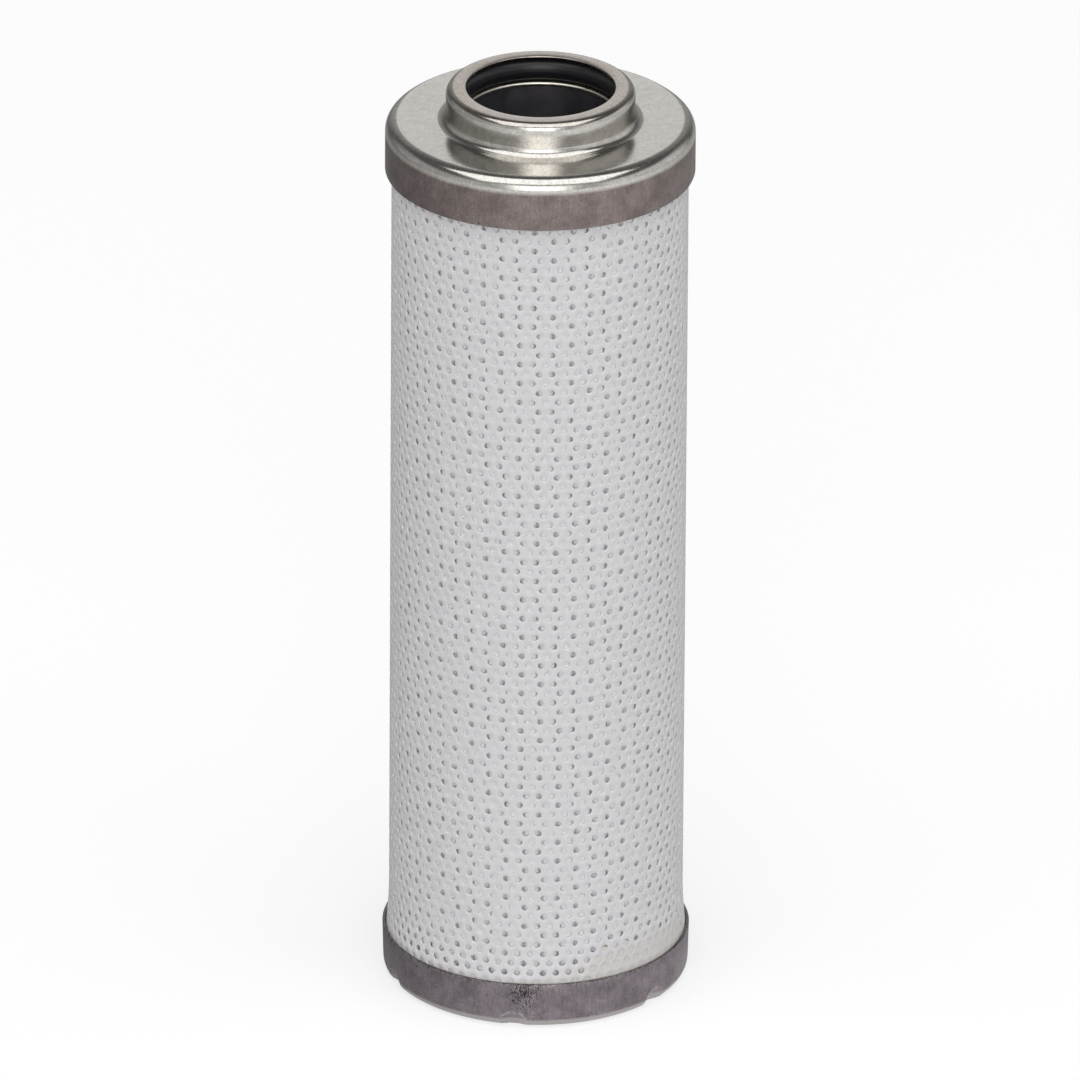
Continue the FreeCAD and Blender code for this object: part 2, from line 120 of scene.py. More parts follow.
def twist(name, description, degrees):
    """A turn about the axis in radians for each metre up, given in degrees."""
    return FloatProperty(name=name, description=description, default=math.radians(degrees))


def count(name, description, default):
    return IntProperty(name=name, description=description, default=default)


def colour(name, description, hex_colour):
    """A colour that the sidebar shows as a swatch."""
    return FloatVectorProperty(name=name, description=description, subtype="COLOR", size=4,
                               min=0, max=1, default=linear(hex_colour))


class CapSizes(bpy.types.PropertyGroup):
    sheet: length("Sheet", "Thickness of the tin-plated sheet", 0.5)
    plate: length("Flat", "Level of the top cap's flat", POTTING_TOP / MM + 0.5)
    shoulder: length("Shoulder bend", "Bend from the flat to the skirt", 2.0)
    neck: length("Neck radius", "Outside of the neck", SEAL_RADIUS / MM + 0.55)
    root: length("Root bend", "Bend from the flat to the neck", 1.45)
    lip: length("Lip bend", "Bend from the neck to its lip", 1.25)
    opening: length("Opening", "Radius of the hole in the lip", 11.3)
    corner: length("Bottom bend", "Bend from the base to the skirt", 1.85)
    flare: length("Flare", "How far the bottom skirt opens out", 0.15)
    trim: length("Cut edge", "Rounding of a cut edge of the sheet", 0.12)
    dents: count("Dents", "Dents around the bottom corner", 6)
    dent_nose: length("Dent nose", "Radius of the pressing tool", 3.4)
    dent_depth: length("Dent depth", "From the sharp corner inwards", 1.55)
    dent_blend: length("Dent edge", "How softly a dent runs out", 0.06)
    dent_bearing: angle("Dent bearing", "First dent's bearing", -8.3)
    dent_pitch: angle("Dent pitch", "The pressing tool's angle below the horizontal", 34.0)
    facets: count("Facets", "Facets around a cap", 240)


class NeckSizes(bpy.types.PropertyGroup):
    seal_width: length("Seal width", "Seal's section across", 2.7)
    mould_line: length("Mould line", "Height of the seam at the seal's equator", 0.05)
    ring: length("Ring", "Thickness of the pressed ring", 0.7)
    ring_edge: length("Ring edge", "Rounding of the ring's inner edge", 0.35)
    core_wall: length("Core wall", "Wall of the core tube", 0.8)
    core_hole: length("Core hole", "Radius of a hole in the core tube", 1.75)
    core_columns: count("Core columns", "Holes in a row", 8)
    core_rows: count("Core rows", "Rows of holes", 12)
    core_blank: length("Core blank", "Plain core tube at each end", 6.0)
    facets: count("Facets", "Facets around the seal and the ring", 160)


class SleeveSizes(bpy.types.PropertyGroup):
    radius: length("Outside", "Outer radius of the film", 22.5)
    film: length("Film", "Thickness of the film", 0.25)
    hole: length("Hole", "Radius of a punched hole", 0.5)
    columns: count("Columns", "Hole spaces around", 72)
    plain_columns: count("Plain columns", "Left plain at the lap", 6)
    rows: count("Rows", "Rows of holes", 82)
    pitch: length("Row pitch", "From one row to the next", 1.5665)
    first_row: length("First row", "Level of the lowest row", 7.5535)
    turn: angle("Turn", "Bearing of a hole in the lowest row", 0.353)
    lean: twist("Lean", "Turn of the columns in radians per metre", 21.5)
    lap: length("Lap", "Width of the welded lap", 9.4)
    lap_step: length("Lap step", "How far the lap stands out", 0.1)
    flare: length("Flare", "How far adhesive pushes the film out at the rim", 0.43)
    flare_top: length("Flare top", "Level where the flare ends", 15.0)


class PleatSizes(bpy.types.PropertyGroup):
    count: count("Pleats", "Pleats around the core", 51)
    gap: length("Gap", "Free space between two crests", 0.04)
    crest: length("Crest bend", "Rounding of a crest's sides", 1.0)
    spring: length("Spring", "How far the crests press out into the sleeve", 0.17)
    play: length("Play", "Free width between two legs at the core", 0.33)
    bearing: angle("Bearing", "Side seam's bearing at mid height", 180.27)
    lean: twist("Lean", "Turn of the pleats in radians per metre", -33.0)
    outer_mesh: length("Outer mesh", "Coated wire mesh outside", 0.14)
    prefilter: length("Prefilter", "Coarse glass fibre", 0.12)
    media: length("Fine fibre", "Fine glass fibre", 0.16)
    fleece: length("Fleece", "Polyester fleece", 0.08)
    inner_mesh: length("Inner mesh", "Coated wire mesh inside", 0.12)
    clip: length("Clip", "Steel strip of the seam's clip", 0.25)
    clip_depth: length("Clip depth", "Clip's reach towards the core", 3.5)
    assembly: length("Assembly gap", "Clearance between two pieces", 0.05)


class AdhesiveSizes(bpy.types.PropertyGroup):
    recess: length("Recess", "Adhesive below the skirt's edge", 1.4)
    floor: length("Adhesive top", "Level of the adhesive under the pack", PACK_FOOT / MM)
    rise: length("Rise", "How far it climbs in the sleeve's holes", 3.8)
    rise_bearing: angle("Rise bearing", "Where it climbs highest", 48.0)
    wobble: length("Wobble", "Unevenness of its edge", 0.35)


class Finishes(bpy.types.PropertyGroup):
    tin_flat: colour("Tin, flat", "Bright tin plate", "#CFCCC6")
    # The skirt's tone is darker than the flat's, partly for its duller drawn finish and partly
    # as painted shade for the dim surroundings it mirrors
    tin_skirt_with_painted_shade: colour("Tin, skirt", "Drawn and ironed tin plate", "#8A7F7C")
    tin_lip: colour("Tin, lip", "Turned-in lip", "#BDB5AD")
    # Darker than the top cap's flat, partly for its duller finish and partly as painted shade
    # for the dim surroundings its skirt mirrors
    tin_base_with_painted_shade: colour("Tin, bottom cap", "Dull tin plate of the bottom cap", "#857D82")
    ring: colour("Ring", "Ring under the seal", "#EFE9DC")
    core: colour("Core", "Oiled steel of the core", "#8E8A90")
    rubber: colour("Rubber", "Nitrile rubber", "#17171A")
    film: colour("Film", "White polyester film", "#FAF7FF")
    coating: colour("Mesh coating", "White coating of the wire mesh", "#FAF9FD")
    fibre: colour("Glass fibre", "Glass-fibre media", "#F0EEE8")
    fleece: colour("Fleece", "Polyester fleece", "#F2F2F0")
    clip: colour("Clip", "Zinc-coated steel", "#B8BAB8")
    adhesive: colour("Adhesive", "Cream polyurethane adhesive", "#ECEAE4")


class StudioSizes(bpy.types.PropertyGroup):
    elevation: angle("Elevation", "Camera above the horizontal", 24.89)
    roll: angle("Roll", "Camera's turn about its own axis", 0.35)
    distance: length("Distance", "Camera to the object's middle", 4000.0)
    view_width: length("View width", "What the image is wide at the object", 164.46)
    aside: length("Aside", "Object's middle left of the image's middle", 0.30)
    above: length("Above", "Object's middle above the image's middle", 1.84)


# Modelling by hand: small steps that the operators share

def deselect():
    for item in bpy.context.scene.objects:
        item.select_set(False)


def only(piece):
    """Leave one object selected and active."""
    deselect()
    piece.select_set(True)
    bpy.context.view_layer.objects.active = piece


def primitive(add, name, **settings):
    """Add a primitive with its operator, as the only selected object, and name it."""
    deselect()
    add(**settings)
    piece = bpy.context.active_object
    piece.name = piece.data.name = name
    return piece


def join(piece, other):
    only(piece)
    other.select_set(True)
    bpy.ops.object.join()


def edit(piece, everything=True):
    only(piece)
    bpy.ops.object.mode_set(mode="EDIT")
    bpy.ops.mesh.select_all(action="SELECT" if everything else "DESELECT")


def leave_edit():
    bpy.ops.object.mode_set(mode="OBJECT")


def select(piece, kind, test):
    """In edit mode, select the vertices, or the edges with both ends, that pass a test."""
    mesh = bmesh.from_edit_mesh(piece.data)
    bpy.ops.mesh.select_mode(type=kind)
    bpy.ops.mesh.select_all(action="DESELECT")
    if kind == "EDGE":
        for edge in mesh.edges:
            edge.select_set(all(test(vertex.co) for vertex in edge.verts))
    else:
        for vertex in mesh.verts:
            vertex.select_set(test(vertex.co))
        mesh.select_flush_mode()
    bmesh.update_edit_mesh(piece.data)


def close_up(piece):
    """Merge doubled points and turn every face outwards."""
    edit(piece)
    bpy.ops.mesh.remove_doubles(threshold=MERGE)
    bpy.ops.mesh.select_all(action="SELECT")
    bpy.ops.mesh.normals_make_consistent()
    leave_edit()


def apply_modifier(piece, kind, **settings):
    """Add a modifier with its settings and apply it."""
    only(piece)
    modifier = piece.modifiers.new(kind.lower(), kind)
    for key, value in settings.items():
        setattr(modifier, key, value)
    bpy.ops.object.modifier_apply(modifier=modifier.name)


def bend(radius, level, size, start, end, steps):
    """Points of a round bend about (radius, level), from one angle to another in degrees."""
    points = []
    for step in range(steps + 1):
        turn = math.radians(start + (end - start) * step / steps)
        points.append((radius + size * math.cos(turn), level + size * math.sin(turn)))
    return points


def run(start, end, steps):
    """Points between two places, without the places themselves."""
    return [(start[0] + (end[0] - start[0]) * step / steps,
             start[1] + (end[1] - start[1]) * step / steps) for step in range(1, steps)]


def spun(name, outline, facets):
    """Spin a closed outline of (radius, level) points about the axis."""
    piece = primitive(bpy.ops.mesh.primitive_circle_add, name, vertices=len(outline))
    for vertex, (radius, level) in zip(piece.data.vertices, outline):
        vertex.co = (0, -radius, level)
    edit(piece)
    bpy.ops.mesh.spin(steps=facets, angle=math.tau, center=(0, 0, 0), axis=(0, 0, 1))
    leave_edit()
    close_up(piece)
    return piece


def at_bearing(radius, bearing, level):
    return Vector((radius * math.sin(bearing), -radius * math.cos(bearing), level))


def bearing_of(point):
    return math.atan2(point.x, -point.y)


def set_across(bearing, across, along):
    """The (x, y) of a place beside and along the line that leaves the axis at a bearing."""
    return (along * math.sin(bearing) + across * math.cos(bearing),
            -along * math.cos(bearing) + across * math.sin(bearing))


def share_of(value, start, end):
    """How far a value has come from a start to an end, from 0 to 1."""
    return min(max((value - start) / (end - start), 0), 1)


def eased(share):
    return share ** 2 * (3 - 2 * share)


def roll_up(piece, radius, turn, lean, middle):
    """Roll a flat sheet about the axis: x runs around it, y up, and z away from it."""
    for vertex in piece.data.vertices:
        across, up, out = vertex.co
        bearing = across / radius + turn + lean * (up - middle)
        vertex.co = at_bearing(radius + out, bearing, up)


def press_outwards(piece, sleeve, adhesive):
    """Push film out to the rim where the adhesive climbed, as far as the cap leaves room."""
    for vertex in piece.data.vertices:
        level = vertex.co.z
        side = math.cos(bearing_of(vertex.co) - adhesive.rise_bearing)
        share = min(max(side / 0.8, 0.8), 1)
        above = share_of(level, BOTTOM_RIM, sleeve.flare_top)
        below = share_of(level, BOTTOM_RIM, PACK_FOOT)
        out = sleeve.flare * eased(share) * (1 - above) ** 2 * (1 - 0.4 * below)
        scale = 1 + out / sleeve.radius
        vertex.co.x *= scale
        vertex.co.y *= scale


def dress(piece, material):
    """Give a piece one material."""
    piece.data.materials.clear()
    piece.data.materials.append(material)


def hand_over(piece, node, slot, material, sharp=35):
    """Smooth a finished piece up to its sharp edges, and give it its material and place."""
    only(piece)
    bpy.ops.object.shade_smooth_by_angle(angle=math.radians(sharp))
    dress(piece, material)
    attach(piece, "root")
    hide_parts(node)


# Materials. Sizes in them are in mm. A Mix node's numbers are its inputs 2 and 3, and its
# colours 6 and 7. A Map Range node takes a value, from, from, to and to.

def add_node(tree, kind, inputs=(), operation=None, **settings):
    """Add a node, set its properties, and feed its inputs, in their order or by their names,
    each with a value, a socket, or another node, whose first output in use is linked."""
    item = tree.nodes.new("ShaderNode" + kind)
    if operation:
        item.operation = operation
    for key, value in settings.items():
        setattr(item, key, value)
    for key, value in inputs.items() if isinstance(inputs, dict) else enumerate(inputs):
        if isinstance(value, bpy.types.Node):
            value = next(socket for socket in value.outputs if socket.enabled)
        if isinstance(value, bpy.types.NodeSocket):
            tree.links.new(value, item.inputs[key])
        else:
            item.inputs[key].default_value = value
    return item


def new_material(name):
    """A bare material, what adds its nodes, and the place on the object in millimetres."""
    material = bpy.data.materials.new(name)
    material.use_nodes = True
    material.node_tree.nodes.clear()
    add = partial(add_node, material.node_tree)
    place = add("TexCoord").outputs["Object"]
    return material, add, add("VectorMath", {0: place, "Scale": 1 / MM}, "SCALE")


def finish(material, tint, gloss, relief, strength, depth, values):
    """End a material in one Principled shader, with a colour, a roughness, a relief of a depth
    in mm, and the values that are the same all over it."""
    add = partial(add_node, material.node_tree)
    bump = add("Bump", {"Strength": strength, "Distance": depth * MM, "Height": relief})
    shader = add("BsdfPrincipled", {
        "Base Color": tint, "Roughness": gloss, "Normal": bump, **values})
    add("OutputMaterial", {"Surface": shader})
    return material


def around_axis(add, place):
    """A place's bearing and its level."""
    axes = add("SeparateXYZ", (place,)).outputs
    inward = add("Math", (axes["Y"], -1.0), "MULTIPLY")
    return add("Math", (axes["X"], inward), "ARCTAN2"), axes["Z"]


def tin_plate(name, tones, skirt_top, lip_foot, roughness, grain, wear_and_highlights=None):
    """Drawn tin-plated sheet steel, with the tones of its flat, skirt and lip.

    The flat and the lip keep the bright tin and mirror their surroundings. The skirt went
    through the drawing ring: it is dull, with fine upright lines and small pits. Its darker
    tone is partly that dull finish and partly painted shade for the dim surroundings it mirrors.
    """
    material, add, place = new_material(name)
    face, skirt, lip = (tuple(tone) for tone in tones)
    level = add("SeparateXYZ", (place,)).outputs["Z"]
    on_skirt = add("MapRange", (level, skirt_top + 0.1, skirt_top - 0.5))
    on_lip = add("MapRange", (level, lip_foot - 0.3, lip_foot + 0.2))
    tall = add("Mapping", {"Vector": place, "Scale": (1, 1, 0.12)})
    # Crystals of the tin of 1 mm, stains of 3 mm, drawing lines 0.2 mm apart, grit of 0.15 mm
    cloud, stain, lines, grit = (
        add("TexNoise", {
            "Vector": vector, "Scale": scale, "Detail": detail, "Roughness": rough})
        for vector, scale, detail, rough in (
            (place, 0.9, 5.0, 0.68), (place, 0.3, 3.0, 0.55), (tall, 4.2, 3.0, 0.75),
            (place, 5.5, 2.0, 0.6)))
    # The skirt's darker tone is partly painted shade for the dim surroundings it mirrors
    tint = add("Mix", {0: on_skirt, 6: face, 7: skirt}, data_type="RGBA")
    tint = add("Mix", {0: on_lip, 6: tint, 7: lip}, data_type="RGBA")
    for pattern, low, high, dark, light, where in (
            (cloud, 0.3, 0.7, 0.84, 1.08, 1.0),
            (lines, 0.3, 0.7, 1 - grain, 1 + 0.6 * grain, on_skirt),
            (stain, 0.36, 0.62, 0.8, 1.1, on_skirt),
            (grit, 0.35, 0.65, 0.8, 1.14, 1.0)):
        tone = add("MapRange", (pattern, low, high, dark, light))
        tone = add("Mix", {0: where, 2: 1.0, 3: tone})
        tint = add("VectorMath", {0: tint, "Scale": tone}, "SCALE")
    # Pits of 0.2 mm, far apart
    pits = add("TexVoronoi", {"Vector": place, "Scale": 0.26})
    pitted = add("MapRange", (pits, 0.045, 0.028))
    pitted = add("Math", (pitted, on_skirt), "MULTIPLY")
    tint = add("Mix", {0: pitted, 6: tint, 7: linear("#2B2625")}, data_type="RGBA")
    if wear_and_highlights:
        tint = wear_and_highlights(add, place, tint)
    gloss = add("MapRange", (on_skirt, 0.0, 1.0, *roughness))
    gloss = add("Math", (cloud, 0.08, gloss), "MULTIPLY_ADD")
    relief = add("Mix", {0: 0.3, 2: cloud, 3: grit})
    relief = add("Mix", {0: on_skirt, 2: relief, 3: lines})
    return finish(material, tint, gloss, relief, 0.25, 0.03, {"Metallic": 1.0})


def top_cap_finish(finishes, caps):
    return tin_plate("tin_plate_top_cap",
                     (finishes.tin_flat, finishes.tin_skirt_with_painted_shade, finishes.tin_lip),
                     (caps.plate - caps.shoulder) / MM, TOP / MM - 0.3,
                     roughness=(0.13, 0.34), grain=0.16)


def bottom_cap_finish(finishes, caps):
    """The same sheet, duller, with a lighter base edge and lighter rings around the dents, each
    partly worn and partly painted highlight, and a patch of dark specks.
    """
    rim = BOTTOM_RIM / MM

    def wear_and_highlights(add, place, tint):
        bearing, level = around_axis(add, place)
        # The corner is lighter at its foot: partly worn where it stands and is handled, partly a
        # painted highlight of the corner's bend
        rubbed_and_highlit = add("MapRange", (level, 1.6, 1.2, 0.0, 0.8))
        # A lighter ring along each dent's arch: partly scuffs of the pressing tool, partly a
        # painted highlight of the dent's rim
        arch_side, arch_rise, arch_level = 2.2, 2.1, 0.7
        half_pitch = math.pi / caps.dents
        aside = add("Math", (bearing, caps.dent_bearing), "SUBTRACT")
        aside = add("Math", (aside, half_pitch, -half_pitch), "WRAP")
        across = add("Math", (aside, BASE_RADIUS / MM / arch_side), "MULTIPLY")
        up = add("Math", (level, 1 / arch_rise, -arch_level / arch_rise), "MULTIPLY_ADD")
        arch = add("CombineXYZ", (across, up))
        from_dent = add("VectorMath", (arch,), "LENGTH")
        torn = add("TexNoise", {"Vector": place, "Scale": 2.6, "Detail": 3.0})
        torn = add("MapRange", (torn, 0.42, 0.6))
        scuff_and_highlight = add("MapRange", (from_dent, 1.15, 1.0, 0.0, 0.75))
        inside = add("MapRange", (from_dent, 0.95, 0.75, 1.0, 0.4))
        for share in (inside, torn):
            scuff_and_highlight = add("Math", (scuff_and_highlight, share), "MULTIPLY")
        # The lighter foot and dent rings together: partly worn metal, partly painted highlight
        bright = add("Math", (rubbed_and_highlit, scuff_and_highlight), "MAXIMUM")
        # Torn grit along the cut edge, light and dark
        at_edge = add("MapRange", (level, rim - 0.8, rim - 0.1, 0.0, 0.5))
        shred = add("Mix", {0: torn, 6: linear("#5A5354"), 7: linear("#A8A2A2")},
                    data_type="RGBA")
        # Specks of 0.1 mm where the ironed sheet tore, densest at the rim above the front dent
        spot = tuple(at_bearing(BASE_RADIUS / MM, math.radians(-4.0), 6.6))
        away = add("VectorMath", (place, spot), "SUBTRACT")
        away = add("VectorMath", (away, (1, 1, 0.75)), "MULTIPLY")
        away = add("VectorMath", (away,), "LENGTH")
        near = add("MapRange", (away, 3.9, 0.6, 0.03, 0.22))
        drawn = add("Mapping", {"Vector": place, "Scale": (1, 1, 0.4)})
        speck = add("TexNoise", {
            "Vector": drawn, "Scale": 5.5, "Detail": 3.0, "Roughness": 0.7})
        speck = add("Math", (speck, near), "ADD")
        speck = add("MapRange", (speck, 0.66, 0.73, 0.0, 0.85))
        for share, tone in ((bright, linear("#B2AEAE")), (at_edge, shred),
                            (speck, linear("#1E1A1A"))):
            tint = add("Mix", {0: share, 6: tint, 7: tone}, data_type="RGBA")
        return tint

    # The bottom cap's darker tone is partly painted shade for the dim surroundings it mirrors
    return tin_plate("tin_plate_bottom_cap", [finishes.tin_base_with_painted_shade] * 3, rim + 5, rim + 9,
                     roughness=(0.3, 0.36), grain=0.22, wear_and_highlights=wear_and_highlights)


def plain_metal(name, tone, roughness, spread, feature):
    """Steel with a cloudy surface: its tone and gloss vary over a feature size in mm."""
    material, add, place = new_material(name)
    cloud = add("TexNoise", {
        "Vector": place, "Scale": 1 / feature, "Detail": 4.0, "Roughness": 0.65})
    tint = add("MapRange", (cloud, 0.3, 0.7, 1 - spread, 1 + spread))
    tint = add("VectorMath", {0: tuple(tone)[:3], "Scale": tint}, "SCALE")
    gloss = add("MapRange", (cloud, 0.3, 0.7, roughness - 0.05, roughness + 0.08))
    return finish(material, tint, gloss, cloud, 0.3, 0.02, {"Metallic": 1.0})


def nitrile_rubber(finishes):
    """Moulded black rubber: a soft broad sheen, faint bloom and dust in its pores."""
    material, add, place = new_material("nitrile_rubber")
    bloom = add("TexNoise", {"Vector": place, "Scale": 0.8, "Detail": 5.0, "Roughness": 0.7})
    tint = add("Mix", {0: bloom, 6: tuple(finishes.rubber), 7: linear("#2A2A2E")},
               data_type="RGBA")
    gloss = add("MapRange", (bloom, 0.0, 1.0, 0.24, 0.42))
    pores = add("TexNoise", {"Vector": place, "Scale": 6.0, "Detail": 2.0})
    return finish(material, tint, gloss, pores, 0.15, 0.02, {"Specular IOR Level": 0.45})


def sleeve_film(finishes, adhesive, sleeve):
    """Punched white polyester film: smooth, a little translucent, so light softens each
    hole's edge, and drawn in by the punch, so each hole lies in a shallow dimple. Adhesive
    that has climbed in it tints it cream beside the bottom rim."""
    material, add, place = new_material("polyester_film")
    bearing, level = around_axis(add, place)
    cloud = add("TexNoise", {"Vector": place, "Scale": 0.16, "Detail": 3.0})
    tone = add("MapRange", (cloud, 0.3, 0.7, 0.97, 1.01))
    toned = add("VectorMath", {0: tuple(finishes.film)[:3], "Scale": tone}, "SCALE")
    towards = tuple(at_bearing(MM / sleeve.radius, adhesive.rise_bearing, 0))
    side = add("VectorMath", (place, towards), "DOT_PRODUCT")
    top = add("MapRange", (side, 0.6, 0.97, BOTTOM_RIM / MM + 0.4,
                           (BOTTOM_RIM + adhesive.rise) / MM + 1.5))
    uneven = add("TexNoise", {"Vector": place, "Scale": 0.35, "Detail": 2.0})
    height = add("Math", (uneven, 3.0, level), "MULTIPLY_ADD")
    below = add("Math", (top, height), "SUBTRACT")
    soaked = add("MapRange", (below, -3.0, 1.0, 0.0, 0.6))
    tint = add("Mix", {0: soaked, 6: toned, 7: linear("#E3E0D6")}, data_type="RGBA")
    # How far a point lies from the next hole, in mm along the rolled film
    rise = add("Math", (level, sleeve.first_row / MM), "SUBTRACT")
    turned = add("Math", (rise, -sleeve.lean * MM, bearing), "MULTIPLY_ADD")
    turned = add("Math", (turned, sleeve.turn), "SUBTRACT")
    around = add("Math", (turned, sleeve.radius / MM), "MULTIPLY")
    flat = add("CombineXYZ", (around, rise))
    half = Vector((math.pi * sleeve.radius / sleeve.columns, sleeve.pitch, 0)) / MM
    gaps = []
    for shift in ((0, 0, 0), half):
        cell = add("VectorMath", (flat, shift), "ADD")
        cell = add("VectorMath", (cell, half, -half), "WRAP")
        gaps.append(add("VectorMath", (cell,), "LENGTH"))
    nearest = add("Math", gaps, "MINIMUM")
    dimple = add("MapRange", (nearest, 0.35, 0.95), interpolation_type="SMOOTHSTEP")
    # None below the lowest row, nor at the lap at the back
    from_front = add("Math", (turned, math.radians(1.25)), "ADD")
    from_front = add("Math", (from_front,), "ABSOLUTE")
    lap_edge = math.radians(165.8)
    for value, start, end in ((rise, -0.6, -0.95),
                              (from_front, lap_edge, lap_edge + math.radians(1.0))):
        plain = add("MapRange", (value, start, end))
        dimple = add("Math", (dimple, plain), "MAXIMUM")
    return finish(material, tint, 0.5, dimple, 0.45, 0.12, {
        "Specular IOR Level": 0.25, "Subsurface Weight": 1.0,
        "Subsurface Radius": (1.0, 1.0, 1.0), "Subsurface Scale": 0.35 * MM})


def coated_mesh(finishes):
    """Wire cloth dipped in white epoxy: crossing wires, softened by the coating."""
    material, add, place = new_material("coated_wire_mesh")
    bearing, level = around_axis(add, place)
    # Wires of 0.2 mm, around and along
    spacing = 0.42
    wires = []
    for position, step in ((bearing, spacing * MM / PACK_RADIUS), (level, spacing)):
        phase = add("Math", (position, math.tau / step), "MULTIPLY")
        wires.append(add("Math", (phase,), "SINE"))
    woven = add("Math", wires, "MAXIMUM")
    woven = add("MapRange", (woven, -1.0))
    tint = add("Mix", {0: woven, 6: linear("#EFEFF2"), 7: tuple(finishes.coating)},
               data_type="RGBA")
    return finish(material, tint, 0.5, woven, 0.6, 0.06, {"Specular IOR Level": 0.4})


def fibre_felt(name, tone, fibre):
    """Matted fibres: a matt surface with a fine hairy relief, as long as the fibre in mm."""
    material, add, place = new_material(name)
    drawn = add("Mapping", {"Vector": place, "Scale": (1.0, 1.0, 0.35)})
    hair = add("TexNoise", {
        "Vector": drawn, "Scale": 3 / fibre, "Detail": 5.0, "Roughness": 0.75,
        "Distortion": 1.4})
    tint = add("MapRange", (hair, 0.3, 0.7, 0.88, 1.0))
    tint = add("VectorMath", {0: tuple(tone)[:3], "Scale": tint}, "SCALE")
    return finish(material, tint, 0.85, hair, 0.5, 0.05, {"Specular IOR Level": 0.2})


def cream_adhesive(finishes):
    """Cured casting resin: cream, waxy and slightly see-through, with soft lumps."""
    material, add, place = new_material("casting_resin")
    lumps = add("TexNoise", {"Vector": place, "Scale": 0.7, "Detail": 4.0, "Roughness": 0.6})
    tint = add("Mix", {0: lumps, 6: linear("#E2DFD6"), 7: tuple(finishes.adhesive)},
               data_type="RGBA")
    return finish(material, tint, 0.38, lumps, 0.4, 0.1, {
        "Specular IOR Level": 0.5, "Subsurface Weight": 0.3,
        "Subsurface Radius": (1.0, 0.92, 0.8), "Subsurface Scale": 0.5 * MM})


# Pieces

class FILTER_OT_top_cap(bpy.types.Operator):
    """Spin the drawn top cap: skirt, shoulder, flat, neck and turned-in lip"""
    bl_idname = "filter_element.top_cap"
    bl_label = "Top cap"

    def execute(self, context):
        caps = context.scene.filter_caps
        sheet, plate, trim = caps.sheet, caps.plate, caps.trim
        skirt = (CAP_RADIUS - caps.shoulder, plate - caps.shoulder)
        root = (caps.neck + caps.root, plate + caps.root)
        lip = (caps.neck - caps.lip, TOP - caps.lip)
        outside = bend(CAP_RADIUS - trim, TOP_RIM + trim, trim, -90, 0, 2)
        outside += run((CAP_RADIUS, TOP_RIM), (CAP_RADIUS, skirt[1]), 4)
        outside += bend(*skirt, caps.shoulder, 0, 90, 12)
        outside += run((skirt[0], plate), (root[0], plate), 6)
        outside += bend(*root, caps.root, 270, 180, 10)
        outside += run((caps.neck, root[1]), (caps.neck, lip[1]), 3)
        outside += bend(*lip, caps.lip, 0, 90, 8)
        outside += bend(caps.opening + trim, TOP - trim, trim, 90, 180, 3)
        inside = bend(caps.opening + trim, TOP - sheet + trim, trim, 180, 270, 2)
        inside += bend(*lip, caps.lip - sheet, 90, 0, 4)
        inside += bend(*root, caps.root + sheet, 180, 270, 6)
        inside += bend(*skirt, caps.shoulder - sheet, 90, 0, 6)
        inside += bend(CAP_RADIUS - sheet + trim, TOP_RIM + trim, trim, 180, 270, 2)
        cap = spun("drawn_top_cap", outside + inside, caps.facets)
        hand_over(cap, "top_end_cap", "cap_steel",
                  top_cap_finish(context.scene.filter_finishes, caps))
        return {"FINISHED"}


class FILTER_OT_bottom_cap(bpy.types.Operator):
    """Spin the closed bottom cap and press the dents into its corner"""
    bl_idname = "filter_element.bottom_cap"
    bl_label = "Bottom cap"

    def wall(self, caps, inset):
        """One face of the cup from the middle of the base to the rim, moved in by an inset."""
        foot = CAP_RADIUS - caps.flare - inset
        base = BASE + inset
        bend_size = caps.corner - inset
        corner = (foot - bend_size, base + bend_size)
        flat = (corner[0] - 2.8 * MM, base)
        upright = (foot + 0.04 * MM, 3.0 * MM)
        points = [(0, base), (8 * MM, base), (15 * MM, base), flat]
        points += run(flat, (corner[0], base), 9)
        points += bend(*corner, bend_size, -90, 0, 9)
        return points + run((foot, corner[1]), upright, 7) + [upright]

    def press(self, caps, cup):
        """Push the corner in and up wherever the round nose of the tool reaches."""
        foot = CAP_RADIUS - caps.flare
        axis = caps.dent_nose - caps.dent_depth
        inward, upward = math.cos(caps.dent_pitch), math.sin(caps.dent_pitch)
        pitch = math.tau / caps.dents
        soft = caps.dent_blend
        for vertex in cup.data.vertices:
            bearing = bearing_of(vertex.co)
            radius = math.hypot(vertex.co.x, vertex.co.y)
            level = vertex.co.z - BASE
            aside = (bearing - caps.dent_bearing + pitch / 2) % pitch - pitch / 2
            across = radius * math.sin(aside)
            # The sheet keeps its thickness: its inner face meets a larger nose
            from_bend = math.hypot(max(radius - foot + caps.corner, 0),
                                   max(caps.corner - level, 0))
            inner = from_bend < caps.corner - caps.sheet / 2
            nose = caps.dent_nose + (caps.sheet if inner else 0)
            if abs(across) >= nose:
                continue
            outward = (radius * math.cos(aside) - foot) * inward - level * upward
            over = outward - axis + math.sqrt(nose ** 2 - across ** 2)
            if over <= -soft:
                continue
            push = over if over > soft else (over + soft) ** 2 / (4 * soft)
            vertex.co -= at_bearing(push * inward, bearing, -push * upward)

    def execute(self, context):
        caps = context.scene.filter_caps
        trim = caps.trim
        outline = self.wall(caps, 0)
        outline += bend(CAP_RADIUS - trim, BOTTOM_RIM - trim, trim, 0, 90, 2)
        outline += bend(CAP_RADIUS - caps.sheet + trim, BOTTOM_RIM - trim, trim, 90, 180, 2)
        outline += self.wall(caps, caps.sheet)[::-1]
        cup = spun("pressed_bottom_cap", outline, 2 * caps.facets)
        self.press(caps, cup)
        hand_over(cup, "bottom_end_cap", "cap_steel",
                  bottom_cap_finish(context.scene.filter_finishes, caps))
        return {"FINISHED"}


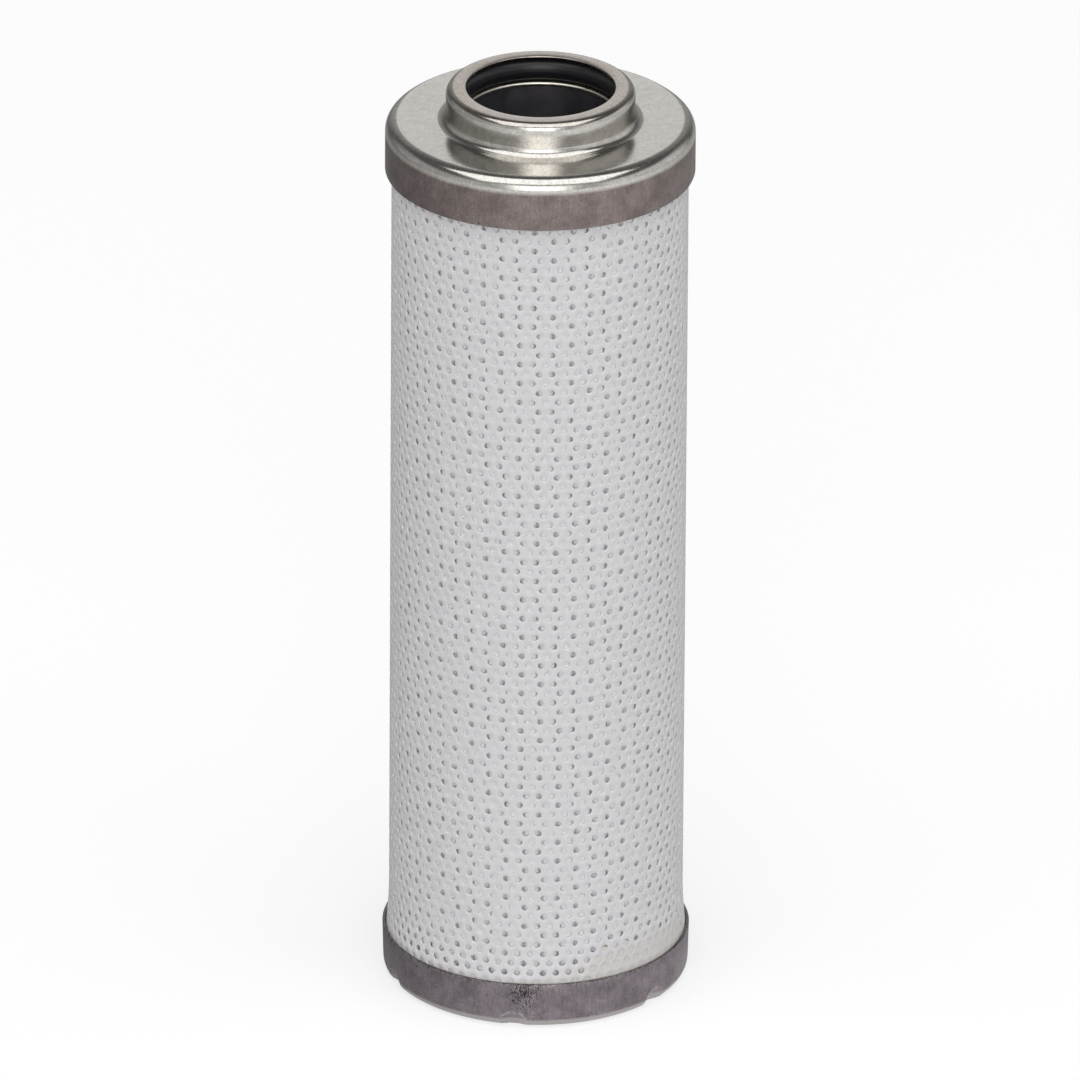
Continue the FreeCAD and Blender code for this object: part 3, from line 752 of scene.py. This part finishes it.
class FILTER_OT_neck(bpy.types.Operator):
    """Spin the rubber seal in the neck and the pressed ring that carries it"""
    bl_idname = "filter_element.neck"
    bl_label = "Neck seal and ring"

    def seal(self, neck):
        """An upright oval with a thin mould line around its inside."""
        middle = SEAL_RADIUS - neck.seal_width / 2
        level = (SEAL_FOOT + SEAL_TOP) / 2
        half_height = (SEAL_TOP - SEAL_FOOT) / 2
        points = []
        sides = 56
        for side in range(sides):
            turn = math.tau * side / sides
            line = neck.mould_line if side == sides // 2 else 0
            points.append((middle + (neck.seal_width / 2 + line) * math.cos(turn),
                           level + half_height * math.sin(turn)))
        return spun("rubber_neck_seal", points, neck.facets)

    def ring(self, neck, caps):
        """A hat: the flange under the flat, the wall in the neck and the holed top."""
        edge = neck.ring_edge
        outer = SEAL_RADIUS
        inner = outer - neck.ring
        flange = caps.plate - caps.sheet
        under = RING_TOP - neck.ring
        points = bend(caps.opening + edge, under + edge, edge, 270, 180, 4)
        points += bend(caps.opening + edge, RING_TOP - edge, edge, 180, 90, 4)
        points += bend(outer - edge, RING_TOP - edge, edge, 90, 0, 4)
        points += [(outer, flange), (outer + 0.8 * MM, flange), (FLANGE_RADIUS, flange),
                   (FLANGE_RADIUS, flange - neck.ring), (inner, flange - neck.ring),
                   (inner, under)]
        return spun("pressed_seal_ring", points, neck.facets)

    def execute(self, context):
        neck = context.scene.filter_neck
        finishes = context.scene.filter_finishes
        hand_over(self.seal(neck), "neck_seal_ring", "seal_rubber",
                  nitrile_rubber(finishes), sharp=60)
        steel = plain_metal("bright_pressed_steel", finishes.ring,
                            roughness=0.3, spread=0.05, feature=1.2)
        hand_over(self.ring(neck, context.scene.filter_caps), "seal_support_ring",
                  "ring_steel", steel)
        return {"FINISHED"}


class FILTER_OT_core(bpy.types.Operator):
    """Spin the core tube and punch its staggered rows of round holes"""
    bl_idname = "filter_element.core"
    bl_label = "Core tube"

    def punches(self, neck):
        """Round punches that stand out through the wall, one under every hole."""
        punch = primitive(
            bpy.ops.mesh.primitive_cylinder_add, "punches", vertices=16,
            radius=neck.core_hole, depth=4 * neck.core_wall,
            location=(0, -CORE_RADIUS + neck.core_wall / 2, 0),
            rotation=(math.pi / 2, 0, 0))
        bpy.ops.object.transform_apply()
        first = PACK_FOOT + neck.core_blank + neck.core_hole
        last = PACK_TOP - neck.core_blank - neck.core_hole
        copies = []
        for row in range(neck.core_rows):
            for column in range(neck.core_columns):
                copy = punch.copy()
                copy.data = punch.data.copy()
                copy.rotation_euler.z = math.tau * (column + row % 2 / 2) / neck.core_columns
                copy.location.z = first + (last - first) * row / (neck.core_rows - 1)
                bpy.context.collection.objects.link(copy)
                copies.append(copy)
        bpy.data.objects.remove(punch)
        only(copies[0])
        for copy in copies:
            copy.select_set(True)
        bpy.ops.object.join()
        bpy.ops.object.transform_apply()
        return bpy.context.active_object

    def execute(self, context):
        neck = context.scene.filter_neck
        inner = CORE_RADIUS - neck.core_wall
        tube = spun("punched_core_tube", [(CORE_RADIUS, CORE_FOOT), (CORE_RADIUS, CORE_TOP),
                                          (inner, CORE_TOP), (inner, CORE_FOOT)], 96)
        tools = self.punches(neck)
        apply_modifier(tube, "BOOLEAN", object=tools, operation="DIFFERENCE", solver="EXACT")
        only(tools)
        bpy.ops.object.delete()
        steel = plain_metal("oiled_core_steel", context.scene.filter_finishes.core,
                            roughness=0.5, spread=0.12, feature=3.0)
        hand_over(tube, "core_tube", "core_steel", steel)
        return {"FINISHED"}


class FILTER_OT_sleeve(bpy.types.Operator):
    """Punch the film flat, hole by hole, and roll it up around the pleats"""
    bl_idname = "filter_element.sleeve"
    bl_label = "Perforated sleeve"

    def cell(self, hole, across, up):
        """One eight-sided hole and the film that links it to its neighbours."""
        cell = primitive(bpy.ops.mesh.primitive_circle_add, "punched_film_sleeve",
                         vertices=8, radius=hole, rotation=(0, 0, EIGHTH))
        bpy.ops.object.transform_apply()
        side, half_side = hole * math.cos(EIGHTH), hole * math.sin(EIGHTH)
        close = 1e-3 * hole
        edit(cell, everything=False)
        for turn, neighbour in ((0, (across, 0)), (math.pi / 4, (across / 2, up)),
                                (3 * math.pi / 4, (-across / 2, up))):
            facing = Vector((math.cos(turn), math.sin(turn)))
            select(cell, "EDGE", lambda point: point.xy.dot(facing) > side * 0.99
                   and point.xy.length < 1.01 * hole)
            step = Vector(neighbour) - facing * 2 * side
            bpy.ops.mesh.extrude_edges_move(
                TRANSFORM_OT_translate={"value": (step.x, step.y, 0)})
        select(cell, "EDGE", lambda point: point.y < -side * 0.99 and abs(point.x) < hole)
        bpy.ops.mesh.extrude_edges_move(
            TRANSFORM_OT_translate={"value": (0, -(up - side - half_side), 0)})
        bpy.ops.transform.resize(value=((across / 2 - side) / half_side, 1, 1),
                                 center_override=(0, 0, 0))
        select(cell, "VERT", lambda point: (
            (abs(point.x) < half_side * 1.01 and point.y > side * 0.99)
            or abs(point.y - (up - half_side)) < close
            and abs(point.x) < across / 2 - side + close))
        bpy.ops.mesh.edge_face_add()
        leave_edit()
        return cell

    def border(self, film, hole, level, sign, first):
        """Cut loose ends past a last row of holes and run the film out to a straight edge."""
        side, half_side = hole * math.cos(EIGHTH), hole * math.sin(EIGHTH)
        edit(film, everything=False)
        select(film, "VERT", lambda point: sign * (point.y - first) > side * 1.01)
        bpy.ops.mesh.delete(type="VERT")
        select(film, "EDGE", lambda point: sign * (point.y - first) > half_side * 0.99)
        bpy.ops.mesh.extrude_edges_move(TRANSFORM_OT_translate={"value": (0, 0, 0)})
        bpy.ops.transform.resize(value=(1, 0, 1), center_override=(0, level, 0))
        leave_edit()

    def lap(self, sleeve):
        """The welded lap: a plain strip that covers the film's two ends."""
        strip = primitive(bpy.ops.mesh.primitive_grid_add, "lap", x_subdivisions=6,
                          y_subdivisions=8, size=1)
        for vertex in strip.data.vertices:
            vertex.co = (vertex.co.x * sleeve.lap,
                         vertex.co.y * (PACK_TOP - PACK_FOOT) + PACK_MIDDLE, 0)
        apply_modifier(strip, "SOLIDIFY", thickness=2 * sleeve.lap_step, offset=0)
        seam = math.pi + sleeve.turn + sleeve.lean * (PACK_MIDDLE - sleeve.first_row)
        pitch = math.tau / sleeve.columns
        roll_up(strip, sleeve.radius, seam - pitch / 4, sleeve.lean, PACK_MIDDLE)
        close_up(strip)
        return strip

    def execute(self, context):
        sleeve = context.scene.filter_sleeve
        adhesive = context.scene.filter_adhesive
        radius = sleeve.radius - sleeve.film / 2
        across = math.tau * radius / sleeve.columns
        columns = sleeve.columns - sleeve.plain_columns
        film = self.cell(sleeve.hole, across, sleeve.pitch)
        for copies, offset in ((2, (across / 2, sleeve.pitch)), (columns, (across, 0)),
                               (sleeve.rows // 2, (0, 2 * sleeve.pitch))):
            apply_modifier(film, "ARRAY", count=copies, use_relative_offset=False,
                           use_constant_offset=True,
                           constant_offset_displace=(*offset, 0))
        edit(film)
        bpy.ops.mesh.remove_doubles(threshold=MERGE)
        leave_edit()
        last_row = (sleeve.rows - 1) * sleeve.pitch
        self.border(film, sleeve.hole, PACK_FOOT - sleeve.first_row, -1, 0)
        self.border(film, sleeve.hole, PACK_TOP - sleeve.first_row, 1, last_row)
        for vertex in film.data.vertices:
            vertex.co.y += sleeve.first_row
        edit(film)
        bpy.ops.mesh.normals_make_consistent()
        leave_edit()
        apply_modifier(film, "SOLIDIFY", thickness=sleeve.film, offset=0)
        first = sleeve.turn - columns // 2 * math.tau / sleeve.columns
        roll_up(film, radius, first, sleeve.lean, sleeve.first_row)
        press_outwards(film, sleeve, adhesive)
        close_up(film)
        join(film, self.lap(sleeve))
        hand_over(film, "outer_wrap", "sleeve_film",
                  sleeve_film(context.scene.filter_finishes, adhesive, sleeve), sharp=50)
        return {"FINISHED"}


class FILTER_OT_pleats(bpy.types.Operator):
    """Fold the five layers of the blanket and clip their two ends together"""
    bl_idname = "filter_element.pleats"
    bl_label = "Pleated blanket and clip"

    def fold(self, pleats, thickness, depth):
        """The blanket's line at a depth below its outer face, as points around the axis."""
        half_step = math.pi / pleats.count
        outside = PACK_RADIUS + pleats.spring
        crest_half = outside * math.sin(half_step) - pleats.gap / 2
        crest_level = math.sqrt(outside ** 2 - (crest_half - pleats.crest) ** 2) - depth
        crest_bend = max(pleats.crest - depth, 0.03 * MM)
        crest_half -= depth + crest_bend
        trough_level = (CORE_RADIUS + pleats.assembly) / math.cos(half_step) + thickness - depth
        trough_half = pleats.play / 4 + depth
        trough_bend = 0.8 * trough_half
        trough_half -= trough_bend
        crest, trough = [], []
        for sign in (-1, 1):
            crest += bend(sign * crest_half, crest_level - crest_bend, crest_bend,
                          135 - 45 * sign, 45 - 45 * sign, 4)
            trough += bend(sign * trough_half, trough_level + trough_bend, trough_bend,
                           225 + 45 * sign, 315 + 45 * sign, 3)
        seam_half = pleats.assembly / 2 + thickness - depth
        seam_end = self.clip_web(pleats, thickness) - pleats.assembly
        seam_bend = PACK_RADIUS - pleats.clip_depth - pleats.clip
        points = [set_across(pleats.bearing, seam_half, along)
                  for along in (seam_end, seam_bend)]
        for half_turn in range(1, 2 * pleats.count):
            bearing = pleats.bearing + half_turn * half_step
            points += [set_across(bearing, *place)
                       for place in (trough if half_turn % 2 else crest)]
        return points + [set_across(pleats.bearing, -seam_half, along)
                         for along in (seam_bend, seam_end)]

    def clip_web(self, pleats, thickness):
        half = thickness + 1.5 * pleats.assembly + pleats.clip
        return math.sqrt(PACK_RADIUS ** 2 - half ** 2) - pleats.clip

    def raised(self, name, outer, inner, pleats):
        """Set a strip between two lines on edge, and draw it up with the pleats' twist."""
        piece = primitive(bpy.ops.mesh.primitive_grid_add, name,
                          x_subdivisions=len(outer) - 1, y_subdivisions=1, size=1)
        order = sorted(piece.data.vertices, key=lambda vertex: (vertex.co.y, vertex.co.x))
        for vertex, (x, y) in zip(order, inner + outer):
            vertex.co = (x, y, PACK_FOOT)
        levels = 12
        height = (PACK_TOP - PACK_FOOT) / levels
        edit(piece)
        for _ in range(levels):
            bpy.ops.mesh.extrude_region_move(TRANSFORM_OT_translate={"value": (0, 0, height)})
        leave_edit()
        for vertex in piece.data.vertices:
            turn = pleats.lean * (vertex.co.z - PACK_MIDDLE)
            x, y, z = vertex.co
            vertex.co = (x * math.cos(turn) - y * math.sin(turn),
                         x * math.sin(turn) + y * math.cos(turn), z)
        close_up(piece)
        return piece

    def clip(self, pleats, thickness):
        """A narrow steel channel over the blanket's ends."""
        web = self.clip_web(pleats, thickness)
        mouth = web + pleats.clip - pleats.clip_depth
        inner = thickness + 1.5 * pleats.assembly
        lines = [[set_across(pleats.bearing, *place) for place in (
            (-half, mouth), (-half, back), (half, back), (half, mouth))]
            for half, back in ((inner + pleats.clip, web + pleats.clip), (inner, web))]
        return self.raised("seam_clip", *lines, pleats)

    def execute(self, context):
        pleats = context.scene.filter_pleats
        finishes = context.scene.filter_finishes
        mesh = ("mesh_coating", coated_mesh(finishes))
        fibre = ("glass_fibre", fibre_felt("glass_fibre", finishes.fibre, fibre=1.0))
        fleece = ("polyester_fleece", fibre_felt("polyester_fleece", finishes.fleece, fibre=1.6))
        layers = (
            ("outer_mesh_layer", pleats.outer_mesh, mesh, "outer_support_mesh"),
            ("prefilter_pleats", pleats.prefilter, fibre, "prefilter_layer"),
            ("fine_fibre_pleats", pleats.media, fibre, "glass_fibre_media"),
            ("fleece_pleats", pleats.fleece, fleece, "backing_fleece"),
            ("inner_mesh_layer", pleats.inner_mesh, mesh, "inner_support_mesh"))
        blanket = sum(layer[1] for layer in layers)
        depth = 0
        for name, thickness, finished, node in layers:
            layer = self.raised(name, self.fold(pleats, blanket, depth),
                                self.fold(pleats, blanket, depth + thickness), pleats)
            hand_over(layer, node, *finished, sharp=40)
            depth += thickness
        clip = self.clip(pleats, depth)
        steel = plain_metal("zinc_coated_steel", finishes.clip,
                            roughness=0.35, spread=0.08, feature=1.5)
        hand_over(clip, "pleat_seam_clip", "clip_steel", steel, sharp=40)
        return {"FINISHED"}


class FILTER_OT_adhesive(bpy.types.Operator):
    """Pour the adhesive: a bed in each cap, and what climbed between sleeve and skirt"""
    bl_idname = "filter_element.adhesive"
    bl_label = "Adhesive"

    def bed(self, adhesive, caps, sleeve):
        """What fills the bottom cap, with an uneven edge under the rim."""
        edge = BOTTOM_RIM - adhesive.recess
        inner = CORE_RADIUS + 0.05 * MM
        outer = sleeve.radius + 0.15 * MM
        low = BASE + caps.sheet + 0.05 * MM
        corner = caps.corner - caps.sheet
        outline = [(inner, low), (inner + 4 * MM, low)]
        outline += bend(GLUE_RADIUS - corner - 1.6 * MM, low + corner, corner, 270, 360, 3)
        outline += [(GLUE_RADIUS - 0.08 * MM, low + 3.4 * MM), (GLUE_RADIUS, edge - 0.5 * MM),
                    (GLUE_RADIUS, edge), ((GLUE_RADIUS + outer) / 2, edge - 0.08 * MM),
                    (outer, edge + 0.05 * MM), (outer, edge - 0.8 * MM),
                    (outer, adhesive.floor), (inner, adhesive.floor)]
        bed = spun("adhesive_bed", outline, 180)
        for vertex in bed.data.vertices:
            if vertex.co.z >= edge - 0.2 * MM:
                bearing = bearing_of(vertex.co)
                vertex.co.z += adhesive.wobble * noise.noise(Vector((
                    3 * math.sin(bearing), 3 * math.cos(bearing), 0.4)))
        return bed

    def plug(self, adhesive, sleeve):
        """What stands behind the film at the rim, and climbs in its holes at one side."""
        plug = primitive(bpy.ops.mesh.primitive_grid_add, "plug", x_subdivisions=200,
                         y_subdivisions=8, size=1)
        span = math.radians(350)
        foot = BOTTOM_RIM - 1.2 * MM
        middle = sleeve.radius - sleeve.film / 2
        for vertex in plug.data.vertices:
            bearing = adhesive.rise_bearing + vertex.co.x * span
            facing = math.cos(bearing - adhesive.rise_bearing)
            ragged = 1 + 0.5 * noise.noise(Vector((9 * bearing, 0.3, 1.7)))
            height = 1.9 * MM + adhesive.rise * eased(share_of(facing, 0.85, 0.95)) * ragged
            # Flush in the film's holes on the front right, and behind the film elsewhere
            inset = 0.22 * MM * (1 - share_of(facing, 0.2, 0.3))
            vertex.co = (vertex.co.x * span * middle, foot + (vertex.co.y + 0.5) * height,
                         -inset)
        apply_modifier(plug, "SOLIDIFY", thickness=0.2 * MM, offset=0)
        roll_up(plug, middle, adhesive.rise_bearing, 0, foot)
        press_outwards(plug, sleeve, adhesive)
        return plug

    def execute(self, context):
        adhesive = context.scene.filter_adhesive
        sleeve = context.scene.filter_sleeve
        bed = self.bed(adhesive, context.scene.filter_caps, sleeve)
        join(bed, self.plug(adhesive, sleeve))
        close_up(bed)
        resin = cream_adhesive(context.scene.filter_finishes)
        hand_over(bed, "bottom_adhesive", "potting", resin)
        dress(frame["nodes"]["top_adhesive"], resin)
        return {"FINISHED"}


class FILTER_OT_stage(bpy.types.Operator):
    """Set the pale floor, the soft studio light and the camera"""
    bl_idname = "filter_element.stage"
    bl_label = "Studio"

    def floor(self):
        """White paper: it glows for the camera, and in metal most towards the front right."""
        floor = primitive(bpy.ops.mesh.primitive_circle_add, "studio_floor", vertices=96,
                          radius=9.0, fill_type="NGON")
        material, add, place = new_material("white_paper")
        paper = add("BsdfPrincipled", {
            "Base Color": linear("#B4B4B4"), "Roughness": 0.9, "Specular IOR Level": 0.1})
        rays = add("LightPath").outputs
        share = add("VectorMath", (place,), "NORMALIZE")
        share = add("VectorMath", (share, (0.25, -0.5, 0)), "DOT_PRODUCT")
        share = add("Math", (share, 0.5), "ADD", use_clamp=True)
        mirrored = add("Math", (rays["Is Glossy Ray"], share), "MULTIPLY")
        seen = add("Math", (rays["Is Camera Ray"], rays["Is Transmission Ray"]), "ADD")
        seen = add("Math", (seen, mirrored), "ADD", use_clamp=True)
        strength = add("Math", (seen, 0.66), "MULTIPLY")
        glow = add("Emission", {"Color": (1, 1, 1, 1), "Strength": strength})
        both = add("AddShader", (paper, glow))
        add("OutputMaterial", {"Surface": both})
        dress(floor, material)

    def softbox(self, place, target, width, depth, power):
        light = bpy.data.lights.new("overhead_softbox", "AREA")
        light.shape = "RECTANGLE"
        light.size, light.size_y = width, depth
        light.energy = power
        lamp = bpy.data.objects.new("overhead_softbox", light)
        lamp.location = place
        lamp.rotation_euler = (target - place).to_track_quat("-Z", "Y").to_euler()
        bpy.context.scene.collection.objects.link(lamp)

    def surroundings(self):
        """A dim room with soft pale panels: behind, in front and at both sides."""
        world = bpy.data.worlds.new("studio_room")
        bpy.context.scene.world = world
        world.use_nodes = True
        world.node_tree.nodes.clear()
        add = partial(add_node, world.node_tree)
        direction = add("TexCoord").outputs["Generated"]
        axes = add("SeparateXYZ", (direction,)).outputs
        x, y, z = axes["X"], axes["Y"], axes["Z"]
        aside = add("Math", (x,), "ABSOLUTE")
        light = 0.1
        # Each panel's light, and from where to where it grows along each axis
        for strength, edges in (
                (0.50, ((aside, 0.17, 0.09), (y, 0.2, 0.5), (z, 0.56, 0.49))),
                (0.28, ((aside, 0.65, 0.2), (y, 0.3, 0.7), (z, 0.9, 0.4))),
                (0.40, ((y, -0.2, -0.8), (z, 0.85, 0.6))),
                (2.05, ((aside, 0.5, 0.1), (y, -0.3, -0.8), (z, 0.75, 0.5))),
                (0.32, ((x, -0.55, -0.95), (z, 0.6, 0.4))),
                (0.62, ((x, 0.55, 0.9), (z, 0.6, 0.4)))):
            for position, dark, bright in edges:
                strength = add("MapRange", (position, dark, bright, 0.0, strength),
                               interpolation_type="SMOOTHSTEP")
            light = add("Math", (light, strength), "ADD")
        sky = add("Background", {"Color": (1, 1, 1, 1), "Strength": light})
        add("OutputWorld", {"Surface": sky})

    def camera(self, studio):
        back = Vector((0, -math.cos(studio.elevation), math.sin(studio.elevation)))
        up = Vector((0, math.sin(studio.elevation), math.cos(studio.elevation)))
        right = Vector((1, 0, 0))
        rolled_up = up * math.cos(studio.roll) - right * math.sin(studio.roll)
        rolled_right = right * math.cos(studio.roll) + up * math.sin(studio.roll)
        aim = Vector((0, 0, (BASE + TOP) / 2))
        aim += rolled_right * studio.aside - rolled_up * studio.above
        data = bpy.data.cameras.new("camera")
        data.sensor_width = 36
        data.lens = data.sensor_width * studio.distance / studio.view_width
        data.clip_end = 50
        camera = bpy.data.objects.new("camera", data)
        camera.matrix_world = Matrix.LocRotScale(
            aim + back * studio.distance,
            Matrix((rolled_right, rolled_up, back)).transposed(), None)
        bpy.context.scene.collection.objects.link(camera)
        bpy.context.scene.camera = camera

    def execute(self, context):
        self.floor()
        self.surroundings()
        self.softbox(Vector((0, -0.3, 1.5)), target=Vector((0, 0, 0.09)),
                     width=2.2, depth=1.3, power=14.2)
        self.camera(context.scene.filter_studio)
        context.scene.view_settings.view_transform = "Standard"
        return {"FINISHED"}


class FILTER_PT_pieces(bpy.types.Panel):
    """Lists the pieces and their sizes"""
    bl_idname = "FILTER_PT_pieces"
    bl_label = "Hydraulic filter element"
    bl_space_type = "VIEW_3D"
    bl_region_type = "UI"
    bl_category = "Filter"

    def draw(self, context):
        layout = self.layout
        for operator in OPERATORS:
            layout.operator(operator.bl_idname)
        for name, group in GROUPS.items():
            box = layout.box()
            values = getattr(context.scene, name)
            for key in group.__annotations__:
                box.prop(values, key)


OPERATORS = (FILTER_OT_top_cap, FILTER_OT_bottom_cap, FILTER_OT_neck, FILTER_OT_core,
             FILTER_OT_sleeve, FILTER_OT_pleats, FILTER_OT_adhesive, FILTER_OT_stage)
GROUPS = {"filter_caps": CapSizes, "filter_neck": NeckSizes, "filter_sleeve": SleeveSizes,
          "filter_pleats": PleatSizes, "filter_adhesive": AdhesiveSizes,
          "filter_finishes": Finishes, "filter_studio": StudioSizes}
CLASSES = (*GROUPS.values(), *OPERATORS, FILTER_PT_pieces)


def register():
    for item in CLASSES:
        bpy.utils.register_class(item)
    for name, group in GROUPS.items():
        setattr(bpy.types.Scene, name, PointerProperty(type=group))


def unregister():
    for name in GROUPS:
        delattr(bpy.types.Scene, name)
    for item in reversed(CLASSES):
        bpy.utils.unregister_class(item)


def main():
    register()
    for operator in OPERATORS:
        family, action = operator.bl_idname.split(".")
        getattr(getattr(bpy.ops, family), action)()


if __name__ == "__main__":
    main()
